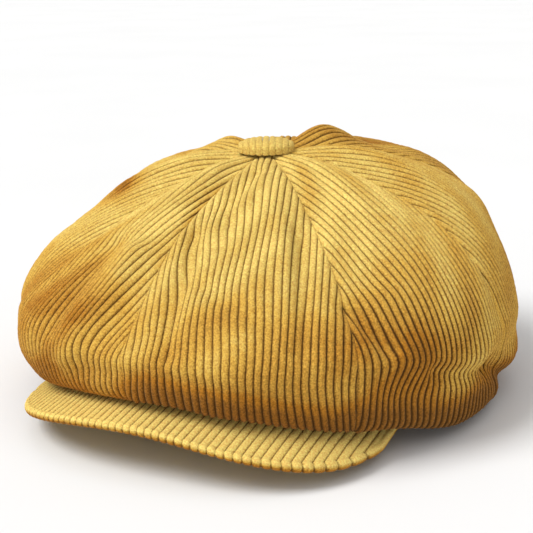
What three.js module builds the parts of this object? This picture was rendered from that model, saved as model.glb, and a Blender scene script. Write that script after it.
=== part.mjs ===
// Newsboy cap: eight gathered corduroy panels over a headband, a lined inside, a stiffened
// visor on its sewn edge and a covered button on top.
// Millimetres, +Z up, the visor points to -Y, the wearer's left is +X.
// The origin is the centre of the head opening, on the level of the rear hem.
import * as THREE from 'three';
import { mergeVertices } from 'three/addons/utils/BufferGeometryUtils.js';

// ---------- driving dimensions ----------
const PANEL_COUNT = 8;
const PANEL_TWIST = THREE.MathUtils.degToRad(-3);
const SEAM_GAP = 0.3;
const SEAM_SLACK = 0.0006;

const HEAD_LENGTH = 98;
const HEAD_WIDTH = 82;
const SWEATBAND_THICKNESS = 1.2;
const STIFFENER_THICKNESS = 1.0;
const HEADBAND_THICKNESS = 1.8;
const LAYER_GAP = 0.35;
const HEADBAND_HEIGHT = 26;

const CROWN_CENTRE_Y = -4;
const CROWN_RADIUS = 134;
const CROWN_ELONGATION = 4;
const CROWN_TOP = 126;
const BULGE_HEIGHT = 47;
const BULGE_FRONT_RISE = 6.5;
const LOBE_BOTTOM = 0.8;
const LOBE_FRONT_RISE = 33;
const LOBE_TURN = 0.93;
const CROWN_THICKNESS = 1.8;
const CROWN_TURN_IN = 4;
const PANEL_PUFF = 4.5;
const APEX_HOLE = 4;

const LINING_DEPTH = 6;
const LINING_THICKNESS = 0.8;

const VISOR_HALF_WIDTH = 96.5;
const VISOR_FRONT_Y = -150;
const VISOR_TIP_Y = -49;
const VISOR_CORNER = 0.75;
const VISOR_TIP_REACH = 0.35;
const VISOR_TIP_SHARPNESS = 10;
const VISOR_TIP_ANGLE = THREE.MathUtils.degToRad(67);
const VISOR_CLEARANCE = 1.3;
const VISOR_THICKNESS = 6;
const VISOR_COVER = 1.7;
const VISOR_BOARD = 2;
const VISOR_RIM_INSET = 3;
const VISOR_LEVEL = 34.2;
const VISOR_LEVEL_Y = -80;
const VISOR_SLOPE = 0.11;
const VISOR_ARCH = 23.8;
const VISOR_ARCH_HALF_WIDTH = 92;
const HEM_ARCH_START = THREE.MathUtils.degToRad(50);
const HEM_ARCH_END = THREE.MathUtils.degToRad(118);

const BUTTON_RADIUS = 14.5;
const BUTTON_HEIGHT = 7.5;
const BUTTON_COVER = 1.4;
const BUTTON_ROUNDNESS = 0.8;
const BUTTON_LIFT = 0.6;
const SHELL_WALL = 0.8;
const SHELL_INSET = 1.8;
const SHELL_LIFT = 2.2;
const PLATE_THICKNESS = 1.2;
const PLATE_CLEARANCE = 0.2;
const SHANK_RADIUS = 2;
const SHANK_CLEARANCE = 0.1;
const WASHER_RADIUS = 8;
const WASHER_THICKNESS = 1.1;
const WASHER_DROP = 3.6;
const RIVET_RADIUS = 3.8;
const RIVET_THICKNESS = 1;
const RIVET_GAP = 0.3;

const LABEL_WIDTH = 22;
const LABEL_LENGTH = 16;
const LABEL_THICKNESS = 0.5;

// Distances out from the head opening to each layer's inner face
const STIFFENER_IN = SWEATBAND_THICKNESS + LAYER_GAP;
const HEADBAND_IN = STIFFENER_IN + STIFFENER_THICKNESS + LAYER_GAP;
const HEADBAND_OUT = HEADBAND_IN + HEADBAND_THICKNESS;

// ---------- materials ----------
const finish = (color, roughness, metalness = 0) =>
  new THREE.MeshStandardMaterial({ color, roughness, metalness });
const corduroy = () => finish(0xcf9b3c, 0.95);
const satin = () => finish(0x5b4327, 0.45);
const twill = () => finish(0x3a2b1c, 0.85);
const buckram = () => finish(0xd9d2c0, 0.9);
const boardPlastic = () => finish(0xe6e4dc, 0.6);
const steel = () => finish(0xb5b3ad, 0.35, 1);
const labelCloth = () => finish(0xf1ede2, 0.8);

// ---------- small helpers ----------
const { smoothstep, lerp } = THREE.MathUtils;

/** Closed solid from a box whose local (0..1) coordinates are moved by map(u, v, w). */
function warpedBox(cells, map) {
  const box = new THREE.BoxGeometry(1, 1, 1, ...cells).translate(0.5, 0.5, 0.5);
  return warped(box, map);
}

/** Moves every vertex of a closed geometry and welds the result. */
function warped(geometry, map) {
  const bare = geometry.clone();
  bare.deleteAttribute('normal');
  bare.deleteAttribute('uv');
  const welded = mergeVertices(bare, 1e-4);
  const place = welded.getAttribute('position');
  for (let i = 0; i < place.count; i += 1) {
    const [x, y, z] = map(place.getX(i), place.getY(i), place.getZ(i));
    place.setXYZ(i, x, y, z);
  }
  welded.computeVertexNormals();
  return welded;
}

/** Closed ring or disc turned about +Z from a closed (radius, height) profile. */
function turned(profile, segments) {
  const points = profile.map(([r, z]) => new THREE.Vector2(r, z));
  return new THREE.LatheGeometry(points, segments).rotateX(Math.PI / 2);
}

function named(name, geometry, material) {
  const mesh = new THREE.Mesh(geometry, material);
  mesh.name = name;
  return mesh;
}

// ---------- head opening and hem ----------
/** Point on the oval around the head, a given distance outside the opening. */
function ovalPoint(angle, out) {
  return [(HEAD_WIDTH + out) * Math.sin(angle), -(HEAD_LENGTH + out) * Math.cos(angle)];
}

/** Height of the middle of the visor's thickness. */
function visorMiddle(x, y) {
  const slope = VISOR_SLOPE * (VISOR_LEVEL_Y - y);
  return VISOR_LEVEL - slope - VISOR_ARCH * (x / VISOR_ARCH_HALF_WIDTH) ** 2;
}

/** Height of the hem: flat behind the ears, rising in an arch over the visor. */
function hemHeight(angle) {
  const [x, y] = ovalPoint(angle, HEADBAND_OUT);
  const arch = visorMiddle(x, y) - VISOR_THICKNESS / 2 - LAYER_GAP;
  const turn = Math.abs(Math.atan2(Math.sin(angle), Math.cos(angle)));
  return arch * (1 - smoothstep(turn, HEM_ARCH_START, HEM_ARCH_END));
}

const bandTop = (angle) => hemHeight(angle) + HEADBAND_HEIGHT;

/** A band around the head: inner distance, thickness, and how far it stays off hem and top. */
function bandRing(inner, thickness, bottomInset, topInset) {
  const segments = 56;
  const profile = [[1, 0], [2, 0], [2, 1], [1, 1], [1, 0]];
  const ring = turned(profile, segments);
  return warped(ring, (x, y, z) => {
    const angle = Math.atan2(x, -y);
    const out = inner + (Math.hypot(x, y) > 1.5 ? thickness : 0);
    const [px, py] = ovalPoint(angle, out);
    const low = hemHeight(angle) + bottomInset;
    const high = bandTop(angle) - topInset;
    return [px, py, lerp(low, high, z)];
  });
}

// ---------- crown ----------
/** Section of the crown at an angle from the front: radius, heights and shoulder fullness. */
function crownSection(angle) {
  const c = Math.cos(angle);
  const c2 = Math.cos(2 * angle);
  const front = Math.max(0, c) ** 2;
  return {
    radius: CROWN_RADIUS + CROWN_ELONGATION * c2,
    bulge: BULGE_HEIGHT + BULGE_FRONT_RISE * c,
    low: LOBE_BOTTOM + LOBE_FRONT_RISE * front,
    outward: 2.2 - 1.05 * c + 0.25 * c2,
    upward: 1.89 - 0.72 * c,
  };
}

const SHOULDER_SHARE = 0.58;
const LOBE_SHARE = 0.84;
const LOBE_SQUARENESS = 2 / 3.2;

/** Radius and height on the crown's seam line: 0 at the top, LOBE_SHARE at the lobe's bottom. */
function crownMeridian(angle, share) {
  const s = crownSection(angle);
  if (share <= SHOULDER_SHARE) {
    const first = Math.asin(APEX_HOLE / s.radius);
    const reach = Math.sin(lerp(first, Math.PI / 2, share / SHOULDER_SHARE));
    const rise = Math.max(0, 1 - reach ** s.outward) ** (1 / s.upward);
    return [s.radius * reach, s.bulge + (CROWN_TOP - s.bulge) * rise];
  }
  const t = (share - SHOULDER_SHARE) / (LOBE_SHARE - SHOULDER_SHARE) * Math.PI / 2;
  const turnRadius = s.radius * LOBE_TURN;
  const across = Math.max(0, Math.cos(t)) ** LOBE_SQUARENESS;
  const down = Math.sin(t) ** LOBE_SQUARENESS;
  return [lerp(turnRadius, s.radius, across), lerp(s.bulge, s.low, down)];
}

/** Outward normal of the crown's section, in radius and height. */
function crownNormal(angle, share) {
  const step = 0.012;
  const before = crownMeridian(angle, Math.max(0, share - step));
  const after = crownMeridian(angle, Math.min(LOBE_SHARE, share + step));
  const dr = after[0] - before[0];
  const dz = after[1] - before[1];
  const length = Math.hypot(dr, dz) || 1;
  return [-dz / length, dr / length];
}

/** Point on the crown, moved inwards by depth, with the panel's puff between its seams. */
function crownPoint(angle, share, depth, puff) {
  const [r, z] = crownMeridian(angle, share);
  const [nr, nz] = crownNormal(angle, share);
  const lift = puff - depth;
  const radius = r + nr * lift;
  return [radius * Math.sin(angle), CROWN_CENTRE_Y - radius * Math.cos(angle), z + nz * lift];
}

/** Puff between two seams: none at the seam, the apex and the lobe's end. */
function panelPuff(across, share) {
  const alongPanel = smoothstep(share, 0, 0.18) * (1 - smoothstep(share, 0.62, LOBE_SHARE));
  return PANEL_PUFF * Math.sin(across * Math.PI) ** 0.8 * alongPanel;
}

const seamAngle = (index) => PANEL_TWIST + index * 2 * Math.PI / PANEL_COUNT;

/** Angle across a panel, held off both seams by half the seam gap. */
function panelAngle(index, across, radius) {
  const inset = SEAM_GAP / 2 / Math.max(radius, APEX_HOLE) + SEAM_SLACK;
  return lerp(seamAngle(index) + inset, seamAngle(index + 1) - inset, across);
}

/** Radius of the crown on a panel's centre line. */
function centreRadius(index, share) {
  return crownMeridian(seamAngle(index + 0.5), share)[0];
}

/** One crown panel: from the button over the shoulder, round the lobe and back to the headband. */
function crownPanel(index) {
  const bandGap = 0.5;
  return warpedBox([6, 22, 1], (u, v, w) => {
    const across = 1 - u;
    const share = Math.min(v, LOBE_SHARE);
    const depth = (1 - w) * CROWN_THICKNESS;
    const angle = panelAngle(index, across, centreRadius(index, share));
    const body = crownPoint(angle, share, depth, panelPuff(across, share));
    if (v <= LOBE_SHARE) {
      return body;
    }
    const back = (v - LOBE_SHARE) / (1 - LOBE_SHARE);
    const [ex, ey] = ovalPoint(panelAngle(index, across, HEAD_WIDTH), HEADBAND_OUT + bandGap);
    const ez = bandTop(angle) - CROWN_TURN_IN + depth;
    return [lerp(body[0], ex, back), lerp(body[1], ey, back), lerp(body[2], ez, back)];
  });
}

/** One lining panel: under its crown panel to the shoulder, then straight to the headband. */
function liningPanel(index) {
  const crownShare = 0.8;
  const sweatbandGap = 0.6;
  const bandLift = 0.5;
  return warpedBox([4, 11, 1], (u, v, w) => {
    const across = 1 - u;
    const share = Math.min(v / crownShare, 1) * SHOULDER_SHARE;
    const depth = LINING_DEPTH + (1 - w) * LINING_THICKNESS;
    const angle = panelAngle(index, across, centreRadius(index, share) - LINING_DEPTH);
    const body = crownPoint(angle, share, depth, 0);
    if (v <= crownShare) {
      return body;
    }
    const back = (v - crownShare) / (1 - crownShare);
    const [ex, ey] = ovalPoint(panelAngle(index, across, HEAD_WIDTH), sweatbandGap);
    const ez = bandTop(angle) + bandLift + (1 - w) * LINING_THICKNESS;
    return [lerp(body[0], ex, back), lerp(body[1], ey, back), lerp(body[2], ez, back)];
  });
}

// ---------- visor ----------
/** Plan position across (-1..1) and outwards (distance from the sewn edge, in shares). */
function visorPlan(across, share) {
  const root = ovalPoint(across * VISOR_TIP_ANGLE, HEADBAND_OUT + VISOR_CLEARANCE);
  const turn = across * Math.PI / 2;
  const sine = Math.sign(across) * Math.abs(Math.sin(turn)) ** VISOR_CORNER;
  const cosine = Math.max(0, Math.cos(turn)) ** VISOR_CORNER;
  const rim = [VISOR_HALF_WIDTH * sine, VISOR_TIP_Y + (VISOR_FRONT_Y - VISOR_TIP_Y) * cosine];
  const reach = lerp(VISOR_TIP_REACH, 1, Math.sqrt(1 - Math.abs(across) ** VISOR_TIP_SHARPNESS));
  return [lerp(root[0], rim[0], share * reach), lerp(root[1], rim[1], share * reach)];
}

function visorLength(across) {
  const root = visorPlan(across, 0);
  const rim = visorPlan(across, 1);
  return Math.hypot(rim[0] - root[0], rim[1] - root[1]);
}

/** Visor point from across, distance back from the rim or out from the root, and height. */
function visorPoint(across, out, height) {
  const [x, y] = visorPlan(across, out / visorLength(across));
  return [x, y, visorMiddle(x, y) + height];
}

const VISOR_CELLS_ACROSS = 22;
const VISOR_BUNCHING = THREE.MathUtils.degToRad(82.8);

/** Position across the visor (-1..1) of a cell edge, bunched slightly towards the tips. */
function visorAcross(u) {
  return Math.sin((1 - u * 2) * VISOR_BUNCHING) / Math.sin(VISOR_BUNCHING);
}

const HALF_VISOR = VISOR_THICKNESS / 2;
const UNDER_COVER_TOP = VISOR_COVER - HALF_VISOR;

/** The visor's top cover, rolled round the rim and turned in underneath. */
function visorTopCover() {
  // Outer and inner line of the rolled edge: distance back from the rim, then height
  const outer = [[2.4, 3], [0.8, 2.1], [0, 0], [0.5, -1.9], [2.2, -3]];
  const inner = [[3.2, 1.3], [2.3, 0.8], [1.8, 0], [2, -0.9], [2.5, -1.4]];
  const flatCells = 4;
  const cells = flatCells + outer.length - 1;
  return warpedBox([VISOR_CELLS_ACROSS, cells, 1], (u, v, w) => {
    const across = visorAcross(u);
    const length = visorLength(across);
    const line = w > 0.5 ? outer : inner;
    const step = Math.round(v * cells);
    if (step <= flatCells) {
      const reach = (length - line[0][0]) * step / flatCells;
      return visorPoint(across, reach, line[0][1]);
    }
    const [back, height] = line[step - flatCells];
    return visorPoint(across, length - back, height);
  });
}

/** A flat layer of the visor between two heights, a little smaller than the cover's outline. */
function visorPlate(low, high, rootInset) {
  const tipInset = 0.03;
  return warpedBox([VISOR_CELLS_ACROSS, 4, 1], (u, v, w) => {
    const across = visorAcross(u) * (1 - tipInset);
    const reach = lerp(rootInset, visorLength(across) - VISOR_RIM_INSET, v);
    return visorPoint(across, reach, lerp(low, high, w));
  });
}

// ---------- button ----------
const BUTTON_BASE = CROWN_TOP + BUTTON_LIFT;
const INNER_RADIUS = BUTTON_RADIUS - BUTTON_COVER;
const SHELL_RADIUS = INNER_RADIUS - SHELL_INSET;
const SHELL_HEIGHT = BUTTON_HEIGHT - BUTTON_COVER - LAYER_GAP - SHELL_LIFT;
const PLATE_RADIUS = INNER_RADIUS - LAYER_GAP - PLATE_CLEARANCE;
const PLATE_LOW = BUTTON_BASE + PLATE_CLEARANCE;
const WASHER_LOW = CROWN_TOP - LINING_DEPTH - LINING_THICKNESS - WASHER_DROP;
const WASHER_HIGH = WASHER_LOW + WASHER_THICKNESS;

function domeProfile(radius, height, base, steps) {
  const points = [];
  for (let i = 0; i <= steps; i += 1) {
    const t = i / steps * Math.PI / 2;
    const out = radius * Math.sin(t) ** BUTTON_ROUNDNESS;
    points.push([out, base + height * Math.cos(t) ** BUTTON_ROUNDNESS]);
  }
  return points;
}

/** Dome-shaped cup with a wall, open underneath, as a closed profile about +Z. */
function domeCup(radius, height, wall, base, segments) {
  const outer = domeProfile(radius, height, base, 8);
  const inner = domeProfile(radius - wall, height - wall, base, 6);
  return turned([...inner, ...outer.reverse()], segments);
}

/** Flat washer with a hole. */
function washerRing(inner, outer, low, high, segments) {
  const profile = [[inner, low], [outer, low], [outer, high], [inner, high], [inner, low]];
  return turned(profile, segments);
}

/** Closing plate: a solid disc under the shell. */
function buttonPlate() {
  const high = PLATE_LOW + PLATE_THICKNESS;
  const profile = [[0, PLATE_LOW], [PLATE_RADIUS, PLATE_LOW], [PLATE_RADIUS, high], [0, high]];
  return turned(profile, 28);
}

/** Shank from the closing plate down through the crown, with its riveted foot. */
function buttonShank() {
  const high = BUTTON_BASE - SHANK_CLEARANCE;
  const rivetHigh = WASHER_LOW - RIVET_GAP;
  const rivetLow = rivetHigh - RIVET_THICKNESS;
  const profile = [
    [0, rivetLow], [RIVET_RADIUS, rivetLow], [RIVET_RADIUS, rivetHigh],
    [SHANK_RADIUS, rivetHigh], [SHANK_RADIUS, high], [0, high],
  ];
  return turned(profile, 16);
}

// ---------- care label ----------
/** Blank care label, hanging inside the sweatband at the wearer's left. */
function careLabel() {
  const leftSide = Math.PI / 2;
  const inwards = 1.4;
  const belowTop = 1;
  const [x, y] = ovalPoint(leftSide, -inwards);
  const z = bandTop(leftSide) - belowTop - LABEL_LENGTH / 2;
  return new THREE.BoxGeometry(LABEL_THICKNESS, LABEL_WIDTH, LABEL_LENGTH).translate(x, y, z);
}

// ---------- assembly ----------
const cap = new THREE.Group();

for (let i = 0; i < PANEL_COUNT; i += 1) {
  cap.add(named(`crown_panel_${i + 1}`, crownPanel(i), corduroy()));
}
for (let i = 0; i < PANEL_COUNT; i += 1) {
  cap.add(named(`lining_panel_${i + 1}`, liningPanel(i), satin()));
}

const band = bandRing(HEADBAND_IN, HEADBAND_THICKNESS, 0, 0);
const stiffener = bandRing(STIFFENER_IN, STIFFENER_THICKNESS, 1.2, 1.2);
const sweatband = bandRing(0, SWEATBAND_THICKNESS, 0.8, 1);
cap.add(named('headband', band, corduroy()));
cap.add(named('headband_stiffener', stiffener, buckram()));
cap.add(named('sweatband', sweatband, twill()));
cap.add(named('care_label', careLabel(), labelCloth()));

const visor = new THREE.Group();
const boardGap = 0.8;
const board = visorPlate(-VISOR_BOARD / 2, VISOR_BOARD / 2, boardGap);
const underCover = visorPlate(-HALF_VISOR, UNDER_COVER_TOP, 0);
visor.add(named('visor_top_cover', visorTopCover(), corduroy()));
visor.add(named('visor_board', board, boardPlastic()));
visor.add(named('visor_under_cover', underCover, corduroy()));
cap.add(visor);

const button = new THREE.Group();
button.position.y = CROWN_CENTRE_Y;
const cover = domeCup(BUTTON_RADIUS, BUTTON_HEIGHT, BUTTON_COVER, BUTTON_BASE, 32);
const shell = domeCup(SHELL_RADIUS, SHELL_HEIGHT, SHELL_WALL, BUTTON_BASE + SHELL_LIFT, 28);
const shankHole = SHANK_RADIUS + LAYER_GAP;
const washer = washerRing(shankHole, WASHER_RADIUS, WASHER_LOW, WASHER_HIGH, 20);
button.add(named('button_cover', cover, corduroy()));
button.add(named('button_shell', shell, steel()));
button.add(named('button_plate', buttonPlate(), steel()));
button.add(named('button_shank', buttonShank(), steel()));
button.add(named('button_washer', washer, steel()));
cap.add(button);

export default cap;
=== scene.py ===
# Newsboy cap: the looks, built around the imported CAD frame.
# Lengths are worked out in millimetres and scaled to metres as each mesh is made.
# The visor points to -Y, the wearer's left is +X, and the rear hem stands on z = 0.
import math
import bpy
import numpy as np
from mathutils import Matrix, Vector


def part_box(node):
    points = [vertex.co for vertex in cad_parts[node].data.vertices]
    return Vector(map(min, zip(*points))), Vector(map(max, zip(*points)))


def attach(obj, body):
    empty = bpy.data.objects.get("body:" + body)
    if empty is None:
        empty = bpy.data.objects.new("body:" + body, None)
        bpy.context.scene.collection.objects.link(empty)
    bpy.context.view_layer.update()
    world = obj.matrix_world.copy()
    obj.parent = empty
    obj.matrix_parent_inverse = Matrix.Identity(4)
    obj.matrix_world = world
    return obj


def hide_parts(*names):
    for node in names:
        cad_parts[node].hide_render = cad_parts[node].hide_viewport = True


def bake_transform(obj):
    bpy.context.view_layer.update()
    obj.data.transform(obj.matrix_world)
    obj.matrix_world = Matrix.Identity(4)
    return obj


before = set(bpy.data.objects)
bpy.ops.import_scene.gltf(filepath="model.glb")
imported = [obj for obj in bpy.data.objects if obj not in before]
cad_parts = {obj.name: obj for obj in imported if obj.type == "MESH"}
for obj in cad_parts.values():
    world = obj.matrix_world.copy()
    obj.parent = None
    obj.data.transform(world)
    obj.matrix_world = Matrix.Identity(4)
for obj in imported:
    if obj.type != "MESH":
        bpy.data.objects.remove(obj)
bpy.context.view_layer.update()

MM = 0.001

# ---------- camera ----------
CAMERA_AZIMUTH = 25.5
CAMERA_ELEVATION = 15.4
CAMERA_ROLL = -1.1
CAMERA_DISTANCE = 0.611
CAMERA_TARGET = Vector((-0.0031, 0.0, 0.0607))
CAMERA_LENS = 75.2


def make_camera():
    a = math.radians(CAMERA_AZIMUTH)
    e = math.radians(CAMERA_ELEVATION)
    r = math.radians(CAMERA_ROLL)
    back = Vector((math.sin(a) * math.cos(e), -math.cos(a) * math.cos(e), math.sin(e)))
    right = Vector((math.cos(a), math.sin(a), 0))
    up = back.cross(right)
    x_axis = right * math.cos(r) + up * math.sin(r)
    y_axis = back.cross(x_axis)
    data = bpy.data.cameras.new("camera")
    data.sensor_width = 36
    data.lens = CAMERA_LENS
    data.clip_start = 0.05
    data.clip_end = 20
    camera = bpy.data.objects.new("camera", data)
    turn = Matrix((x_axis, y_axis, back)).transposed().to_4x4()
    camera.matrix_world = Matrix.Translation(CAMERA_TARGET + back * CAMERA_DISTANCE) @ turn
    bpy.context.collection.objects.link(camera)
    bpy.context.scene.camera = camera


make_camera()
bpy.context.scene.view_settings.view_transform = "Standard"

# ---------- sizes shared with the CAD design, in millimetres ----------
PANEL_COUNT = 8
PANEL_TWIST = math.radians(-3)
PANEL_STEP = 2 * math.pi / PANEL_COUNT
HEAD_LENGTH = 98.0
HEAD_WIDTH = 82.0
SWEATBAND_THICKNESS = 1.2
HEADBAND_IN = 2.9
HEADBAND_OUT = 4.7
HEADBAND_HEIGHT = 26.0
TURN_IN = 1.5
CROWN_CENTRE_Y = -4.0
CROWN_RADIUS = 134.0
CROWN_ELONGATION = 4.0
CROWN_TOP = 126.0
BULGE_HEIGHT = 47.0
BULGE_FRONT_RISE = 6.5
LOBE_BOTTOM = 0.8
LOBE_FRONT_RISE = 33.0
LOBE_TURN = 0.93
LOBE_SQUARENESS = 2 / 3.2
CROWN_THICKNESS = 1.8
APEX_HOLE = 4.0
LINING_DEPTH = 6.0
LINING_THICKNESS = 0.8
VISOR_HALF_WIDTH = 98.5
VISOR_FRONT_Y = -150.0
VISOR_TIP_Y = -49.0
VISOR_CORNER = 0.75
VISOR_TIP_ANGLE = math.radians(67)
VISOR_CLEARANCE = 1.3
VISOR_THICKNESS = 6.0
VISOR_LEVEL = 34.2
VISOR_LEVEL_Y = -80.0
VISOR_SLOPE = 0.11
VISOR_ARCH = 23.8
VISOR_ARCH_HALF_WIDTH = 92.0
VISOR_DROOP = 0.024
DROOP_FROM_X = -60
DROOP_FROM_Y = -104
DROOP_REACH = 46
VISOR_SHIFT = 2.0
HEM_ARCH_START = math.radians(50)
HEM_ARCH_END = math.radians(118)
HEM_GAP = 0.35
BUTTON_RADIUS = 15.0
BUTTON_HEIGHT = 7.5
BUTTON_BASE = 125.4

# ---------- the corduroy ----------
WALE = 3.65
WALE_DEPTH = 1.1
WALE_STOPS = np.array([0.0, 0.10, 0.27, 0.5, 0.73, 0.90])
WALE_RISE = np.array([0.0, 0.52, 0.89, 1.0, 0.89, 0.52])
ROW_STEP = 2.2


# ---------- mesh helpers ----------
def smooth01(x, low, high):
    t = np.clip((x - low) / (high - low), 0, 1)
    return t * t * (3 - 2 * t)


def hump(x, middle, reach):
    """1 at the middle, and about a third of that at its reach."""
    return np.exp(-((x - middle) / reach) ** 2)


def patch(x, y, middle_x, reach_x, middle_y, reach_y):
    """A hump in two directions at once."""
    return np.exp(-((x - middle_x) / reach_x) ** 2 - ((y - middle_y) / reach_y) ** 2)


def from_front(angles):
    """Degrees round from the cap's front, from -180 to 180."""
    return np.degrees(np.arctan2(np.sin(angles), np.cos(angles)))


def unit(vectors):
    return vectors / np.maximum(np.linalg.norm(vectors, axis=-1, keepdims=True), 1e-9)


def run_along(x, y):
    """Distance along a line from its start to each of its points."""
    return np.concatenate([[0], np.cumsum(np.hypot(np.diff(x), np.diff(y)))])


def grid_ids(rows, columns):
    return np.arange(rows * columns).reshape(rows, columns)


def without_repeats(corners):
    kept = []
    for c in corners:
        if not kept or kept[-1] != c:
            kept.append(c)
    if len(kept) > 1 and kept[0] == kept[-1]:
        kept.pop()
    return kept if len(kept) > 2 and len(set(kept)) == len(kept) else None


def grid_faces(ids):
    """Faces between the rows and columns of a grid of vertex numbers; cells that collapse go.
    They face the side from which rows run down and columns run to the right."""
    a, b = ids[:-1, :-1].ravel(), ids[:-1, 1:].ravel()
    c, d = ids[1:, 1:].ravel(), ids[1:, :-1].ravel()
    faces = []
    for quad in zip(a.tolist(), d.tolist(), c.tolist(), b.tolist()):
        face = without_repeats(quad)
        if face:
            faces.append(face)
    return faces


def closed_shell(outer, inner, faces, stand_in):
    """Joins an outer sheet and a coarser inner one, where stand_in[v] is v's inner vertex."""
    outer, inner = outer.reshape(-1, 3), inner.reshape(-1, 3)
    count = len(outer)
    edges = dict.fromkeys(edge for face in faces for edge in zip(face, face[1:] + face[:1]))
    solid = list(faces)
    for face in faces:
        back = without_repeats([count + int(stand_in[v]) for v in reversed(face)])
        if back:
            solid.append(back)
    for a, b in edges:
        if (b, a) not in edges:
            rim = without_repeats([b, a, count + int(stand_in[a]), count + int(stand_in[b])])
            if rim:
                solid.append(rim)
    return np.vstack([outer, inner]), solid


def mesh_piece(name, points, faces, material, rise=None, tone=None):
    """A new object from points in millimetres. The cloth's own attributes are its wale height, from
    0 in a groove to 1 on top and lower where the grooves get painted shade, and its tone, about 0 where
    the pile is light golden and 1 where it is dark brown, partly the nap's own colour and partly painted
    shade."""
    used = np.unique(np.fromiter((v for f in faces for v in f), dtype=np.int64))
    place = np.full(len(points), -1)
    place[used] = np.arange(len(used))
    mesh = bpy.data.meshes.new(name)
    mesh.from_pydata((points[used] * MM).tolist(), [], [[int(place[v]) for v in f] for f in faces])
    for label, values in (("wale", rise), ("tone", tone)):
        if values is not None:
            layer = mesh.attributes.new(label, "FLOAT", "POINT")
            layer.data.foreach_set("value", values[used].astype(np.float32))
    mesh.materials.append(material)
    mesh.polygons.foreach_set("use_smooth", [True] * len(mesh.polygons))
    mesh.update()
    piece = bpy.data.objects.new(name, mesh)
    bpy.context.collection.objects.link(piece)
    return piece


# ---------- the hem, the visor's height and the oval round the head ----------
def oval(angle, out):
    return (HEAD_WIDTH + out) * np.sin(angle), -(HEAD_LENGTH + out) * np.cos(angle)


def visor_middle(x, y):
    slope = VISOR_SLOPE * (VISOR_LEVEL_Y - y)
    forward = np.clip((DROOP_FROM_Y - y) / DROOP_REACH, 0, 1)
    worn = VISOR_DROOP * np.maximum(0, x - DROOP_FROM_X) * forward
    return VISOR_LEVEL - slope - VISOR_ARCH * (x / VISOR_ARCH_HALF_WIDTH) ** 2 - worn


def hem_height(angle):
    x, y = oval(angle, HEADBAND_OUT)
    arch = visor_middle(x, y) - VISOR_THICKNESS / 2 - HEM_GAP
    turn = np.abs(np.arctan2(np.sin(angle), np.cos(angle)))
    return arch * (1 - smooth01(turn, HEM_ARCH_START, HEM_ARCH_END))


def band_top(angle):
    return hem_height(angle) + HEADBAND_HEIGHT


# ---------- the crown's surface, as a table over angle and way down ----------
ANGLES_PER_PANEL = 90
ANGLE_COUNT = PANEL_COUNT * ANGLES_PER_PANEL
WAY_COUNT = 260
TOP_STEPS = 90


def rim_settling(angles):
    """How far the rim has sunk on to the visor, or been pushed up beside it, in mm."""
    degrees = from_front(angles)
    sunk = 3.6 * np.exp(-((degrees - 27) / 20) ** 4) + 2.6 * np.exp(-((degrees + 16) / 24) ** 4)
    return 4.5 * hump(degrees, 83, 12) - sunk


def crown_sections(angles):
    """Radius and height down each section, evenly spaced from the button to the band."""
    c, c2 = np.cos(angles), np.cos(2 * angles)
    radius = CROWN_RADIUS + CROWN_ELONGATION * c2
    bulge = BULGE_HEIGHT + BULGE_FRONT_RISE * c
    low = LOBE_BOTTOM + LOBE_FRONT_RISE * np.maximum(0, c) ** 2 + rim_settling(angles)
    outward = 2.2 - 1.05 * c + 0.25 * c2
    upward = 1.89 - 0.72 * c
    ex, ey = oval(angles, HEADBAND_OUT + 0.5)
    end_radius = np.hypot(ex, ey - CROWN_CENTRE_Y)
    end_height = band_top(angles) - 3
    r, z = [], []
    for t in np.linspace(0, 1, TOP_STEPS):
        first = np.arcsin(APEX_HOLE / radius)
        reach = np.sin(first + (math.pi / 2 - first) * t)
        rise = np.maximum(0, 1 - reach ** outward) ** (1 / upward)
        r.append(radius * reach)
        z.append(bulge + (CROWN_TOP - bulge) * rise)
    for t in np.linspace(0, math.pi / 2, 50)[1:]:
        across, down = math.cos(t) ** LOBE_SQUARENESS, math.sin(t) ** LOBE_SQUARENESS
        r.append(radius * (LOBE_TURN + (1 - LOBE_TURN) * across))
        z.append(bulge + (low - bulge) * down)
    lobe_radius, lobe_height = r[-1], z[-1]
    for t in np.linspace(0, 1, 30)[1:]:
        r.append(lobe_radius + (end_radius - lobe_radius) * t)
        z.append(lobe_height + (end_height - lobe_height) * t)
    return np.stack(r, 1), np.stack(z, 1)


def even_steps(r, z, count):
    """Each row's line redrawn with evenly spaced points."""
    out_r, out_z = np.empty((len(r), count)), np.empty((len(r), count))
    share = np.linspace(0, 1, count)
    for i in range(len(r)):
        run = run_along(r[i], z[i])
        out_r[i] = np.interp(share * run[-1], run, r[i])
        out_z[i] = np.interp(share * run[-1], run, z[i])
    return out_r, out_z


def rounded(values, passes):
    """Averages along each row, with its ends held."""
    for _ in range(passes):
        middle = (values[:, :-2] + 2 * values[:, 1:-1] + values[:, 2:]) / 4
        values = np.concatenate([values[:, :1], middle, values[:, -1:]], 1)
    return values


def table_normals(points):
    """Outward normals of a table of points that closes on itself round the crown."""
    round_it = np.roll(points, -1, 0) - np.roll(points, 1, 0)
    down = np.gradient(points, axis=1)
    return unit(np.cross(down, round_it))


def soft_waves(angles, ways, seed, count, around, along):
    """Smooth random relief from a few waves that close round the crown."""
    draw = np.random.default_rng(seed)
    relief = np.zeros(np.broadcast(angles, ways).shape)
    for _ in range(count):
        turns = draw.integers(around[0], around[1] + 1)
        waves = draw.uniform(along[0], along[1])
        shift = draw.uniform(0, 2 * math.pi)
        relief += np.cos(turns * angles + waves * 2 * math.pi * ways + shift)
    return relief / math.sqrt(count)


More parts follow.
